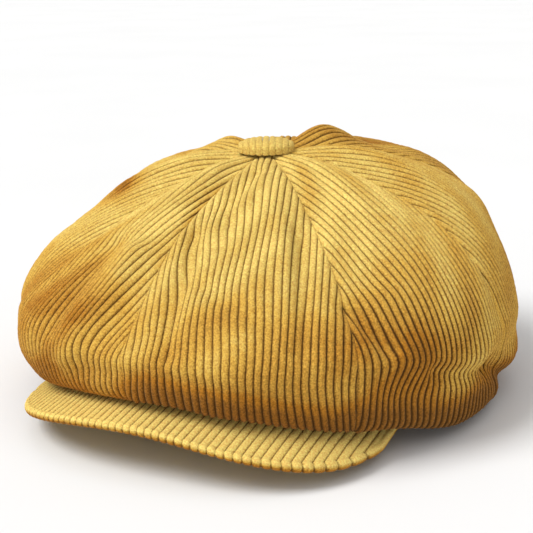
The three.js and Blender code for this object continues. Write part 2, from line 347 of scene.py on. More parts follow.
# Hollows and swellings of the worn crown: angle from the front in degrees, share of the way down,
# reach in degrees and in share, and height in mm.
FOLDS = [
    # the top behind the button and the back's outline
    (199, 0.21, 16, 0.10, -8.5),
    (249, 0.26, 17, 0.10, -6.5),
    (236, 0.11, 9, 0.05, 1.5),
    (283, 0.40, 14, 0.10, -5.0),
    (300, 0.60, 14, 0.08, -2.5),
    (152, 0.27, 12, 0.07, -5.5),
    (161, 0.15, 15, 0.07, 5.2),
    (139, 0.46, 12, 0.08, 2.5),
    (124, 0.47, 8, 0.05, 2.2),
    (112, 0.52, 13, 0.10, -3.0),
    (316, 0.77, 12, 0.06, -3.5),
    (319, 0.68, 10, 0.05, 1.5),
    (322, 0.74, 10, 0.05, 2.5),
    (24, 0.20, 5, 0.09, 1.2),
    # the flatter, hollow side of the panel on the wearer's right
    (-11, 0.60, 7, 0.12, -3.6),
    (-30, 0.55, 7, 0.14, -2.4),
    # a broad hollow beyond the front panel's left-hand seam
    (54, 0.69, 8, 0.10, -2.6),
    (100, 0.58, 15, 0.08, -1.6),
    (52, 0.52, 5.0, 0.03, 1.4),
    (53, 0.64, 5.0, 0.02, 1.2),
    # the swell above and below the crease on the wearer's left side
    (84, 0.655, 20, 0.03, 2.2),
    (102, 0.735, 10, 0.03, 3.2),
    (78, 0.80, 12, 0.04, 2.4),
    # the soft edge above the front's darker rim
    (27, 0.735, 13, 0.014, -1.0),
    (8, 0.727, 12, 0.014, -1.0),
    (350, 0.745, 12, 0.016, -1.2),
]

# Creases and ridges that run along a line: its bends (angle in degrees, share of the way down),
# how far it reaches to each side in mm, and its height in mm.
FOLD_LINES = [
    # the valley that runs down from under the button
    (((15, 0.12), (11.5, 0.17), (8, 0.216), (7, 0.26), (8.5, 0.31)), 5.0, -3.3),
    # the deep fold beside the front panel's right-hand seam, and the roll between the two
    (((-2, 0.36), (1.3, 0.413), (3, 0.471), (3.3, 0.514), (4, 0.58), (5, 0.65), (6, 0.685)), 4.2, -3.3),
    (((-5, 0.36), (-2.5, 0.45), (-1.5, 0.54), (-1, 0.62)), 3.6, 1.5),
    (((9.5, 0.33), (11, 0.40)), 6.0, -1.0),
    # the knee in the panel on the wearer's right, and the hollow beyond it
    (((-16, 0.45), (-14, 0.56), (-14, 0.64), (-18, 0.73)), 7.0, 2.8),
    (((-26, 0.44), (-25, 0.56), (-25, 0.66)), 8.0, -3.8),
    # a shallow crease that slants across the front panel
    (((9, 0.515), (14, 0.54), (20, 0.565), (25, 0.60)), 5.0, -1.6),
    # the upright fold towards the front panel's left-hand seam
    (((36, 0.33), (36, 0.38), (34.5, 0.44), (33.5, 0.50), (32.5, 0.58), (31, 0.64)), 4.2, -2.7),
    (((31, 0.30), (31, 0.38), (30, 0.46), (29, 0.54)), 4.5, 1.4),
    # a dent beyond that seam
    (((43, 0.53), (46, 0.575), (49, 0.62)), 4.5, -3.4),
    # the crease where the wearer's left side folds over itself
    (((60, 0.668), (68, 0.685), (80, 0.712)), 4.2, -3.0),
    (((80, 0.712), (92, 0.765), (104, 0.81), (114, 0.82)), 5.0, -4.0),
]
WAY_LENGTH = 240.0


def degree_length(ways):
    """Length in mm of one degree round the crown, which widens evenly down to its rim."""
    return np.radians(11.7 + 180 * np.minimum(ways, 0.70))


def line_distance(angles, ways, path):
    """Distance in mm over the crown's cloth from a line through a few bends."""
    first = path[0][0]
    x = from_front(angles - math.radians(first)) * degree_length(ways)
    y = ways * WAY_LENGTH
    nearest = np.full(np.broadcast(angles, ways).shape, 1e9)
    bends = [((angle - first) * degree_length(way), way * WAY_LENGTH) for angle, way in path]
    for (ax, ay), (bx, by) in zip(bends, bends[1:]):
        dx, dy = bx - ax, by - ay
        along = np.clip(((x - ax) * dx + (y - ay) * dy) / (dx * dx + dy * dy), 0, 1)
        nearest = np.minimum(nearest, np.hypot(x - ax - along * dx, y - ay - along * dy))
    return nearest


def fold_relief(angles, ways):
    relief = np.zeros(np.broadcast(angles, ways).shape)
    for place, way, wide, high, depth in FOLDS:
        off = from_front(angles - math.radians(place))
        relief = relief + depth * patch(off, ways, 0, wide, way, high)
    for path, wide, depth in FOLD_LINES:
        relief = relief + depth * hump(line_distance(angles, ways, path), 0, wide)
    return relief


# Each panel's swell between its seams, in mm, from the front one round by the wearer's left.
PUFF = [3.6, 4.4, 4.6, 5.0, 4.6, 5.0, 5.0, 4.6]
# How far each seam wanders at mid height, in degrees, starting with the seam right of the front panel.
SEAM_WANDER = [-3.8, 0.4, -1.5, 0.0, 0.0, 0.0, 0.0, 7.0]


def panel_puff(place, ways):
    """How far each panel stands out between its seams."""
    index = np.floor(place).astype(int) % PANEL_COUNT
    between = np.sin((place - np.floor(place)) * math.pi) ** 1.25
    body = smooth01(ways, 0.0, 0.16) * (1 - smooth01(ways, 0.60, 0.84))
    return between * np.array(PUFF)[index] * body


def seam_wander(place, ways):
    """Degrees by which the cloth between two seams follows them out of their planes."""
    index = np.floor(place).astype(int) % PANEL_COUNT
    part = place - np.floor(place)
    wander = np.array(SEAM_WANDER)
    here = wander[index] * (1 - part) + wander[(index + 1) % PANEL_COUNT] * part
    return here * smooth01(ways, 0.02, 0.2) * (1 - smooth01(ways, 0.45, 0.85))


def build_crown_table():
    """Points and outward directions all over the crown: by place round it, then by way down."""
    columns = np.arange(ANGLE_COUNT)
    r, z = crown_sections(PANEL_TWIST + columns * 2 * math.pi / ANGLE_COUNT)
    r, z = even_steps(r, z, WAY_COUNT)
    r, z = rounded(r, 26), rounded(z, 26)
    ways = np.linspace(0, 1, WAY_COUNT)[None, :]
    place = (columns / ANGLES_PER_PANEL)[:, None]
    shift = seam_wander(place, ways) * ANGLE_COUNT / 360
    for w in range(WAY_COUNT):
        at = columns + shift[:, w]
        r[:, w] = np.interp(at, columns, r[:, w], period=ANGLE_COUNT)
        z[:, w] = np.interp(at, columns, z[:, w], period=ANGLE_COUNT)
    turn = PANEL_TWIST + (columns[:, None] + shift) * 2 * math.pi / ANGLE_COUNT
    points = np.stack([r * np.sin(turn), CROWN_CENTRE_Y - r * np.cos(turn), z], 2)
    normals = table_normals(points)
    free = smooth01(ways, 0.05, 0.2) * (1 - smooth01(ways, 0.74, 0.86))
    relief = panel_puff(place, ways) + fold_relief(turn, ways)
    broad = soft_waves(turn, ways, seed=11, count=9, around=(3, 11), along=(0.6, 2.2))
    small = soft_waves(turn, ways, seed=5, count=12, around=(10, 30), along=(1.5, 5.0))
    relief = relief + free * 0.7 * broad
    relief = relief + free * 0.35 * small
    surface = points + normals * relief[:, :, None]
    unfolded = points + normals * panel_puff(place, ways)[:, :, None]
    return surface, table_normals(surface), unfolded


CROWN, CROWN_OUT, CROWN_UNFOLDED = build_crown_table()


def crown_at(table, columns, ways):
    """Table values at fractional columns (angle) and ways (0..1), by bilinear blending."""
    c = np.mod(columns, ANGLE_COUNT)
    c0 = np.floor(c).astype(int) % ANGLE_COUNT
    c1 = (c0 + 1) % ANGLE_COUNT
    fc = (c - np.floor(c))[..., None]
    w = np.clip(ways, 0, 1) * (WAY_COUNT - 1)
    w0 = np.minimum(np.floor(w).astype(int), WAY_COUNT - 2)
    fw = (w - w0)[..., None]
    low = table[c0, w0] * (1 - fc) + table[c1, w0] * fc
    high = table[c0, w0 + 1] * (1 - fc) + table[c1, w0 + 1] * fc
    return low * (1 - fw) + high * fw


def wale_columns(half_width, shift):
    """Where the wales need columns of vertices, each one's rise, and its stand-in on the inner sheet."""
    first = int(math.floor((-half_width - shift) / WALE)) - 1
    last = int(math.ceil((half_width - shift) / WALE)) + 1
    wales = np.arange(first, last + 1)
    across = ((wales[:, None] + WALE_STOPS[None, :]) * WALE + shift).ravel()
    rise = np.tile(WALE_RISE, len(wales))
    behind = np.arange(len(across)) // 2 * 2
    return across, rise, behind


def panel_width_table(index, ways):
    """Distance across a panel from its first seam, at each way down, by table column."""
    columns = index * ANGLES_PER_PANEL + np.arange(ANGLES_PER_PANEL + 1)
    spread = np.broadcast_arrays(columns[None, :], ways[:, None])
    points = crown_at(CROWN_UNFOLDED, *spread)
    steps = np.linalg.norm(np.diff(points, axis=1), axis=2)
    run = np.concatenate([np.zeros((len(ways), 1)), np.cumsum(steps, 1)], 1)
    return columns, run


def wale_drift(angles, ways):
    """Millimetres that the wales swing sideways where the cloth is pulled."""
    degrees = np.degrees(angles)
    swing = 0.8 * soft_waves(angles, ways, 41, 9, (5, 18), (1.0, 3.5))
    pulled = np.sin(2 * math.pi * (ways - 0.60) / 0.17) * hump(ways, 0.68, 0.09)
    return swing + 2.6 * pulled * hump(degrees, 54, 9)


TONE_SCALE = 0.65


def nap_tone_and_painted_shade(angles, ways, heights):
    """From 0, where the pile is light and golden, to 1 where it is dark brown. It is partly the nap's own
    colour, in random patches and an orange band, and partly painted shade: low down, at the rim, at the
    back, in a hollow and on the side away from the key light.
    """
    degrees = from_front(angles)
    # Painted shade: the tone darkens lower down the crown. At the rim it is partly browner nap and partly
    # painted shade.
    low = smooth01(-heights, -100, -50)
    rim = smooth01(ways, 0.70, 0.775)
    left = hump(degrees, -36, 23) * smooth01(ways, 0.30, 0.52)
    left = left + 0.55 * patch(degrees, ways, -21, 8, 0.59, 0.07)
    left = left + 2.5 * patch(degrees, ways, -71, 9, 0.295, 0.05)
    left = left * (1 - 0.6 * smooth01(ways, 0.61, 0.68))
    left = left - 0.5 * patch(degrees, ways, -13, 10, 0.765, 0.035)
    # A little lighter here: painted light where the cloth tilts away from the lamps.
    left = left - 0.3 * patch(degrees, ways, -9, 7, 0.46, 0.09)
    # Partly browner nap and partly painted shade, just above the visor at the front.
    edge = smooth01(ways, 0.725, 0.78) * smooth01(degrees, -8, 14) * (1 - smooth01(degrees, 75, 120))
    # Painted shade on the wearer's left side, which faces away from the key light. It eases off in a band
    # part way down, where light reaches that side.
    brushed_nap_and_lit_band = smooth01(ways, 0.45, 0.6) * (1 - smooth01(ways, 0.68, 0.76))
    right = hump(degrees, 70, 32) * smooth01(ways, 0.28, 0.60)
    right = right - 1.7 * hump(degrees, 82, 18) * brushed_nap_and_lit_band
    front = patch(degrees, ways, 23, 13, 0.59, 0.045)
    # Painted shade at the back of the crown, away from the lamps.
    back = hump(np.abs(degrees), 180, 70)
    # Painted shade in the hollow beyond the front panel's left-hand seam.
    dim = hump(degrees, 58, 17) * smooth01(ways, 0.54, 0.72)
    dim = dim + patch(degrees, ways, 50, 8, 0.60, 0.06)
    dim = dim - 0.45 * patch(degrees, ways, 69, 11, 0.69, 0.08)
    patches = np.clip(soft_waves(angles, ways, 77, 16, (4, 26), (1.5, 7.0)), -1.6, 1.6)
    tone = 0.10 + 0.42 * low + 0.50 * rim + 0.40 * left + 0.20 * right + 0.66 * back + 0.12 * patches
    return (tone + 0.30 * dim + 0.50 * edge + 0.22 * front) * TONE_SCALE


def groove_shade_on_left_side(angles, ways):
    """From 0 to 1, how much painted shade darkens and widens the grooves' colour on the wearer's left
    side, low down.
    """
    degrees = from_front(angles)
    return hump(degrees, 68, 26) * smooth01(ways, 0.42, 0.62)


# By how many mm a panel's grooves gape where the next panel's edge pulls at them, by panel. The same
# amount also paints shade there: a browner tone and a darker, wider groove colour under the raised seam
# edge.
SEAM_PULL_AND_SHADE = {7: 0.8}
# Where the wales start across even and odd panels, as a share of a wale.
WALE_STARTS = (0.15, 0.5)
SEAM_MARGIN = 0.22
SEAM_LEVEL = 0.62
SEAM_DEPTH = 0.3
FELL_PLACE = 3.0
FELL_HEIGHT = 0.55
FUZZ_HEIGHT = 0.07
BACKING = 0.6


def crown_panel(index):
    every_way = np.linspace(0, 1, WAY_COUNT)
    middle_line = crown_at(CROWN, np.full(WAY_COUNT, (index + 0.5) * ANGLES_PER_PANEL), every_way)
    length = np.linalg.norm(np.diff(middle_line, axis=0), axis=1).sum()
    row_count = int(round(length / ROW_STEP)) + 1
    ways = np.linspace(0, 1, row_count)
    columns, run = panel_width_table(index, ways)
    half = run[:, -1:] / 2
    across, rise, behind = wale_columns(half.max(), WALE * WALE_STARTS[index % 2])
    inside = np.abs(across)[None, :] < half - SEAM_MARGIN
    clamped = np.clip(across[None, :], -half, half)
    turn = PANEL_TWIST + (index + 0.5 + clamped / (2 * half)) * PANEL_STEP
    way_grid = np.repeat(ways[:, None], len(across), 1)
    seam_gap = half - np.abs(clamped)
    drift = wale_drift(turn, way_grid) * (1 - hump(seam_gap, 0, 9))
    place = np.empty_like(clamped)
    for j in range(row_count):
        place[j] = np.interp(clamped[j] + drift[j] + half[j], run[j], columns)
    # columns past a seam gather on it
    left = (across < 0)[None, :]
    place = np.where(inside, place, np.where(left, columns[0], columns[-1]))
    ids = grid_ids(row_count, len(across))
    ids = np.where(inside, ids, np.where(left, ids[:, :1], ids[:, -1:]))
    points = crown_at(CROWN, place, way_grid)
    normals = unit(crown_at(CROWN_OUT, place, way_grid))
    height = np.where(inside, rise[None, :], SEAM_LEVEL)
    near_seam = hump(seam_gap, 0, 0.7)
    felled = hump(clamped + half, FELL_PLACE, 2.2) * smooth01(half, 6, 20)
    pulled = SEAM_PULL_AND_SHADE.get(index, 0) * patch(half - clamped, way_grid, 0, 6, 0.27, 0.08)
    drop = ((WALE_DEPTH + pulled) * (1 - height) + SEAM_DEPTH * near_seam) * smooth01(way_grid, 0.0, 0.05)
    drop = drop - FELL_HEIGHT * felled * (1 - near_seam)
    clumps = np.random.default_rng(100 + index).normal(0, FUZZ_HEIGHT, drop.shape)
    outer = points - normals * (drop + clumps * (rise > 0.9) * inside)[:, :, None]
    inner = points - normals * (CROWN_THICKNESS + BACKING)
    solid_points, solid = closed_shell(outer, inner, grid_faces(ids), ids[:, behind].ravel())
    # Painted shade: the tone browns under the next panel's raised edge. Lowering the wale attribute
    # there, and low on the wearer's left side, darkens and widens the grooves' colour but leaves the
    # cloth's shape alone.
    tone = nap_tone_and_painted_shade(turn, way_grid, points[:, :, 2]) + 0.4 * pulled
    painted_groove_shade = (0.8 * pulled + 0.6 * groove_shade_on_left_side(turn, way_grid)) * inside
    wale = height - (1 - height) * painted_groove_shade
    spare = np.full(tone.size, 0.5)
    piece = mesh_piece(f"cloth_crown_panel_{index + 1}", solid_points, solid, CORDUROY,
                       np.concatenate([wale.ravel(), spare]), np.concatenate([tone.ravel(), spare]))
    finish_piece(piece, "cap", "corduroy", f"crown_panel_{index + 1}")


def finish_piece(piece, body, slot, *nodes):
    if body:
        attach(piece, body)
    if nodes:
        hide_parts(*nodes)


# ---------- materials ----------
class Nodes:
    """Short calls for building one material's nodes."""

    def __init__(self, name):
        self.material = bpy.data.materials.new(name)
        self.material.use_nodes = True
        self.tree = self.material.node_tree
        self.shader = self.tree.nodes["Principled BSDF"]
        self.place = self.add("ShaderNodeTexCoord").outputs["Object"]

    def put(self, socket, value):
        """Links another node's output to a socket, or sets a plain number or colour on it."""
        if isinstance(value, bpy.types.NodeSocket):
            self.tree.links.new(value, socket)
        else:
            socket.default_value = (*value, 1) if socket.type == "RGBA" else value

    def add(self, kind, **values):
        node = self.tree.nodes.new(kind)
        for name, value in values.items():
            self.put(node.inputs[name.title()], value)
        return node

    def attribute(self, name):
        node = self.add("ShaderNodeAttribute")
        node.attribute_name = name
        return node.outputs["Fac"]

    def noise(self, scale, detail=3.0, rough=0.55, stretch=None, distortion=0.0):
        place = self.place
        if stretch:
            place = self.add("ShaderNodeMapping", vector=place, scale=stretch).outputs["Vector"]
        node = self.add("ShaderNodeTexNoise", vector=place, scale=scale, detail=detail,
                        roughness=rough, distortion=distortion)
        return node.outputs["Fac"]

    def wave(self, scale, direction):
        node = self.add("ShaderNodeTexWave", vector=self.place, scale=scale)
        node.bands_direction = direction
        return node.outputs["Fac"]

    def ramp(self, source, stops):
        node = self.add("ShaderNodeValToRGB", fac=source)
        ramp = node.color_ramp
        while len(ramp.elements) < len(stops):
            ramp.elements.new(0.5)
        for element, (where, value) in zip(ramp.elements, stops):
            element.position = where
            colour = value if isinstance(value, tuple) else (value, value, value)
            element.color = (*colour, 1)
        return node.outputs["Color"]

    def clouded(self, scale, detail, low, high, rough=0.55):
        """A colour or value that drifts softly between two."""
        return self.ramp(self.noise(scale, detail, rough), [(0.3, low), (0.7, high)])

    def mix(self, factor, a, b, kind="MIX"):
        node = self.add("ShaderNodeMix")
        node.data_type = "RGBA"
        node.blend_type = kind
        node.clamp_result = True
        for index, value in ((0, factor), (6, a), (7, b)):
            self.put(node.inputs[index], value)
        return node.outputs[2]

    def math(self, operation, *values):
        node = self.add("ShaderNodeMath")
        node.operation = operation
        for socket, value in zip(node.inputs, values):
            self.put(socket, value)
        return node.outputs[0]

    def plus(self, base, extra, weight):
        """base, moved by extra's distance from a half."""
        less = self.math("SUBTRACT", base, weight / 2)
        return self.math("MULTIPLY_ADD", extra, weight, less)

    def bump(self, height, distance, strength=1.0, over=None):
        node = self.add("ShaderNodeBump", height=height, distance=distance, strength=strength)
        if over is not None:
            self.put(node.inputs["Normal"], over)
        return node.outputs["Normal"]

    def finish(self, colour, **values):
        """Wires up the shader, with plain numbers on its own sockets."""
        for name, value in {"base_color": colour, **values}.items():
            socket = name.replace("_", " ").title().replace("Ior", "IOR")
            self.put(self.shader.inputs[socket], value)
        return self.material


# PALE shows mostly on the visor, as painted light. RUSSET and UMBER show mostly where the tone paints
# shade, and GROOVE and DEEP_GROOVE paint shade in the grooves, deepest and widest where the tone is high.
PALE = (0.77, 0.55, 0.148)
GOLD = (0.665, 0.468, 0.120)
MUSTARD = (0.59, 0.345, 0.060)
RUSSET = (0.38, 0.155, 0.015)
UMBER = (0.25, 0.100, 0.014)
GROOVE = (0.165, 0.082, 0.017)
DEEP_GROOVE = (0.080, 0.033, 0.006)


def corduroy_material():
    n = Nodes("mustard_corduroy")
    wale, tone = n.attribute("wale"), n.attribute("tone")
    brushed_nap_and_lit_band = n.noise(70, 4, 0.65, distortion=0.4)
    fine = n.noise(420, 3, 0.7)
    speckle = n.noise(1300, 2, 0.6)
    cloudy = n.plus(n.plus(tone, brushed_nap_and_lit_band, 0.34), fine, 0.30)
    pile = n.ramp(cloudy, [(0.0, PALE), (0.08, GOLD), (0.30, MUSTARD), (0.62, RUSSET), (0.92, UMBER)])
    shadow = n.ramp(cloudy, [(0.10, GROOVE), (0.50, DEEP_GROOVE)])
    pile = n.mix(0.52, pile, n.ramp(speckle, [(0.34, 0.22), (0.5, 0.50), (0.66, 0.80)]), "OVERLAY")
    fuzzy = n.plus(n.plus(wale, speckle, 0.7), tone, -0.28)
    groove = n.ramp(fuzzy, [(0.18, 0.0), (0.84, 1.0)])
    fuzz = n.bump(fine, 0.0012, 0.5, over=n.bump(speckle, 0.0007, 0.6))
    return n.finish(n.mix(groove, shadow, pile), normal=fuzz, roughness=0.95, specular_ior_level=0.08,
                    sheen_weight=0.10, sheen_roughness=0.5, sheen_tint=(1.0, 0.80, 0.45))


def satin_material():
    n = Nodes("brown_satin")
    threads = n.bump(n.noise(900, 2, 0.5, stretch=(1, 1, 0.08)), 0.0002, 0.4)
    return n.finish(n.clouded(30, 4, (0.115, 0.062, 0.030), (0.205, 0.120, 0.060), rough=0.6),
                    normal=threads, roughness=n.clouded(60, 3, 0.30, 0.42), sheen_weight=0.2,
                    anisotropic=0.5)


def twill_material():
    n = Nodes("dark_twill")
    ribs = n.wave(900, "DIAGONAL")
    relief = n.bump(ribs, 0.0003, 0.7, over=n.bump(n.noise(700, 3), 0.0003, 0.4))
    return n.finish(n.mix(ribs, (0.050, 0.032, 0.020), (0.125, 0.085, 0.055)), normal=relief,
                    roughness=0.85, specular_ior_level=0.2, sheen_weight=0.15)


def thread_material():
    n = Nodes("sewing_thread")
    return n.finish(n.clouded(800, 2, (0.30, 0.19, 0.06), (0.46, 0.31, 0.12)),
                    normal=n.bump(n.wave(1600, "DIAGONAL"), 0.0002, 0.6), roughness=0.6)


def buckram_material():
    n = Nodes("natural_buckram")
    weave = n.mix(0.5, n.wave(420, "X"), n.wave(420, "Z"))
    return n.finish(n.mix(weave, (0.48, 0.43, 0.34), (0.74, 0.69, 0.58)),
                    normal=n.bump(weave, 0.0003, 0.6), roughness=0.9)


def label_material():
    n = Nodes("woven_label")
    weave = n.mix(0.5, n.wave(700, "Y"), n.wave(700, "Z"))
    return n.finish(n.mix(weave, (0.74, 0.70, 0.62), (0.86, 0.83, 0.77)),
                    normal=n.bump(weave, 0.0002, 0.5), roughness=0.75, sheen_weight=0.1)


def board_material():
    n = Nodes("visor_board_sheet")
    return n.finish(n.clouded(90, 4, (0.70, 0.68, 0.63), (0.82, 0.80, 0.76)),
                    normal=n.bump(n.noise(500, 3), 0.0002, 0.3), roughness=n.clouded(50, 3, 0.5, 0.65))


def steel_material():
    n = Nodes("plated_steel")
    turned = n.bump(n.noise(1200, 2, stretch=(1, 1, 0.05)), 0.0001, 0.3)
    return n.finish(n.clouded(120, 4, (0.48, 0.47, 0.45), (0.62, 0.61, 0.59)), normal=turned,
                    roughness=n.clouded(200, 3, 0.26, 0.40), metallic=1.0)


def floor_material():
    n = Nodes("studio_floor")
    return n.finish(n.clouded(3, 2, (0.78, 0.78, 0.78), (0.80, 0.80, 0.80)), roughness=0.9,
                    specular_ior_level=0.1)


CORDUROY = corduroy_material()
SATIN = satin_material()
TWILL = twill_material()
THREAD = thread_material()


def dress(node, material):
    """Gives a CAD node that stays its finished material."""
    piece = bpy.data.objects[node]
    piece.data.materials.clear()
    piece.data.materials.append(material)


# ---------- the lining ----------
LINING_ROWS = 60
LINING_COLUMNS = 27


def lining_hollows():
    """How far the lining must give way under the crown's hollows, all round and all down it."""
    turn = PANEL_TWIST + np.arange(PANEL_COUNT * LINING_COLUMNS)[:, None] * PANEL_STEP / LINING_COLUMNS
    ways = np.linspace(0, 1, WAY_COUNT // 2)[None, :]
    need = np.maximum(0, -fold_relief(turn, ways) - 1.6)
    for _ in range(3):
        need = np.maximum.reduce([np.roll(need, 1, 0), need, np.roll(need, -1, 0)])
        need[:, 1:-1] = np.maximum.reduce([need[:, :-2], need[:, 1:-1], need[:, 2:]])
    for _ in range(6):
        need = (np.roll(need, 1, 0) + 2 * need + np.roll(need, -1, 0)) / 4
        need[:, 1:-1] = (need[:, :-2] + 2 * need[:, 1:-1] + need[:, 2:]) / 4
    return need


LINING_HOLLOWS = lining_hollows()


def moved_section(r, z, by_radius, by_height):
    """Section lines moved along their inward normals, with each part of the move given."""
    dr, dz = np.gradient(r, axis=1), np.gradient(z, axis=1)
    size = np.hypot(dr, dz)
    return r + dz / size * by_radius, z - dr / size * by_height


def lining_panel(index):
    rows, cols = LINING_ROWS, LINING_COLUMNS + 1
    step = ANGLES_PER_PANEL / (cols - 1)
    columns = index * ANGLES_PER_PANEL + np.arange(cols) * step
    angles = PANEL_TWIST + columns * 2 * math.pi / ANGLE_COUNT
    r, z = crown_sections(angles)
    r, z = r[:, :TOP_STEPS], z[:, :TOP_STEPS]
    r, z = moved_section(r, z, LINING_DEPTH, LINING_DEPTH)
    ex, ey = oval(angles, 0.6)
    low_r, low_z = np.hypot(ex, ey - CROWN_CENTRE_Y), band_top(angles) + 0.7
    t = np.linspace(0, 1, 40)[None, 1:]
    r = np.concatenate([r, r[:, -1:] + (low_r[:, None] - r[:, -1:]) * t], 1)
    z = np.concatenate([z, z[:, -1:] + (low_z[:, None] - z[:, -1:]) * t], 1)
    r, z = even_steps(r, z, rows)
    r, z = rounded(r, 3), rounded(z, 3)
    ways = np.linspace(0, 1, rows)[None, :]
    turn = angles[:, None]
    between = np.sin(np.linspace(0, 1, cols) * math.pi)[:, None] ** 0.7
    free = smooth01(ways, 0.06, 0.3) * (1 - smooth01(ways, 0.9, 1))
    sag = free * (1.3 * between + 0.7 * soft_waves(turn, ways, 23, 8, (4, 16), (0.5, 2.5)))
    run = run_along(r[cols // 2], z[cols // 2])
    known = np.linspace(0, WAY_LENGTH, LINING_HOLLOWS.shape[1])
    for k in range(cols):
        column = (index * LINING_COLUMNS + k) % len(LINING_HOLLOWS)
        sag[k] += np.interp(run, known, LINING_HOLLOWS[column]) * (1 - smooth01(ways[0], 0.9, 1))
    gathers = 0.9 * smooth01(ways, 0.7, 0.97) * np.cos(turn * 72 + 3 * np.sin(turn * 7))
    r, z = moved_section(r, z, sag + gathers * (1 - smooth01(ways, 0.97, 1)), sag)
    points = np.stack([r * np.sin(turn), CROWN_CENTRE_Y - r * np.cos(turn), z], 2).transpose(1, 0, 2)
    outward = unit(np.cross(np.gradient(points, axis=0), np.gradient(points, axis=1)))
    ids = grid_ids(rows, cols)
    inner = points - outward * LINING_THICKNESS
    solid, faces = closed_shell(points, inner, grid_faces(ids), ids.ravel())
    piece = mesh_piece(f"cloth_lining_panel_{index + 1}", solid, faces, SATIN)
    finish_piece(piece, "cap", "lining_satin", f"lining_panel_{index + 1}")


# ---------- bands round the head ----------
def ring_ids(rows, columns):
    """Vertex numbers of a band that closes round the head and round its own section."""
    return np.pad(grid_ids(rows, columns), ((0, 1), (0, 1)), mode="wrap")


def arc_wales():
    """Wale phase round the oval headband, evenly pitched along its length."""
    t = np.linspace(0, 2 * math.pi, 2881)
    x, y = oval(t, HEADBAND_OUT)
    run = run_along(x, y)
    count = round(run[-1] / WALE)
    return t, run / run[-1] * count, count


ARC_ANGLES, ARC_PHASE, ARC_COUNT = arc_wales()


def headband():
    """The corduroy band round the outside, its lower edge turned in under the stiffener."""
    columns = ARC_COUNT * len(WALE_STOPS)
    phase = (np.arange(ARC_COUNT)[:, None] + WALE_STOPS[None, :]).ravel()
    angles = np.interp(phase, ARC_PHASE, ARC_ANGLES)
    rise = np.tile(WALE_RISE, ARC_COUNT)
    middle = (HEADBAND_IN + HEADBAND_OUT) / 2
    top = HEADBAND_HEIGHT
    # distance out from the head, height above the hem and share of the wales' relief, up the
    # outer face and down the inner one
    section = [(TURN_IN, 0.40, 0), (TURN_IN + 0.35, 0.0, 0.15)]
    section += [(middle, 0.0, 0.3), (HEADBAND_OUT - 0.25, 0.3, 0.8)]
    section += [(HEADBAND_OUT, height, 1) for height in np.linspace(1, top - 1, 9)]
    section += [(HEADBAND_OUT - 0.25, top - 0.3, 0.8), (middle, top, 0.3), (HEADBAND_IN, top - 1, 0)]
    section += [(HEADBAND_IN, 0.85, 0), (TURN_IN + 0.35, 0.80, 0)]
    hem = hem_height(angles)
    rows, wale = [], []
    for out, height, relief in section[::-1]:
        x, y = oval(angles, out - 0.8 * (1 - rise) * relief)
        rows.append(np.stack([x, y, hem + height], 1))
        wale.append(rise * relief + (1 - relief) * 0.5)
    ids = ring_ids(len(rows), columns)
    wale = np.concatenate(wale)
    tone = np.full(wale.size, 0.5 * TONE_SCALE)
    piece = mesh_piece("cloth_headband", np.concatenate(rows), grid_faces(ids), CORDUROY, wale, tone)
    finish_piece(piece, "cap", "corduroy", "headband")


def sweatband():
    """A twill band with a soft rolled lower edge, slightly uneven as worn cloth is."""
    rows, columns = 30, 240
    angle = np.linspace(0, 2 * math.pi, columns, endpoint=False)[None, :]
    around = 1 - np.linspace(0, 1, rows, endpoint=False)[:, None]
    low, high = hem_height(angle) + 0.8, band_top(angle) - 1.0
    up = np.clip(np.where(around < 0.5, 2 * around, 2 - 2 * around) * 1.06 - 0.03, 0, 1)
    thick = np.clip(np.sin(around * 2 * math.pi) * 6, -1, 1)
    out = SWEATBAND_THICKNESS / 2 + thick * SWEATBAND_THICKNESS / 2 * 0.96
    ripple = 0.22 * np.cos(angle * 19 + 2 * np.sin(angle * 3)) * np.sin(up * math.pi)
    x, y = oval(angle, out - np.abs(ripple))
    points = np.stack(np.broadcast_arrays(x, y, low + (high - low) * up), 2)
    faces = grid_faces(ring_ids(rows, columns))
    piece = mesh_piece("twill_sweatband", points.reshape(-1, 3), faces, TWILL)
    finish_piece(piece, "cap", "sweatband_twill", "sweatband")


STITCH_COUNT = 190
STITCH_LENGTH = 2.1
STITCH_RADIUS = 0.22
STITCH_HEIGHT = 3.2
STITCH_SIDES = 6
STITCH_STATIONS = 5


def stitch_frame(angle):
    """A point on the sweatband's face, the way along its stitches and the way in towards the head."""
    ahead = angle + 0.01
    low, low_ahead = hem_height(angle) + STITCH_HEIGHT, hem_height(ahead) + STITCH_HEIGHT
    x, y = oval(angle, 0.05)
    x2, y2 = oval(ahead, 0.05)
    along = np.array([x2 - x, y2 - y, low_ahead - low])
    along /= np.linalg.norm(along)
    out = np.array([-math.sin(angle), math.cos(angle), 0.0])
    return np.array([x, y, low]), along, out


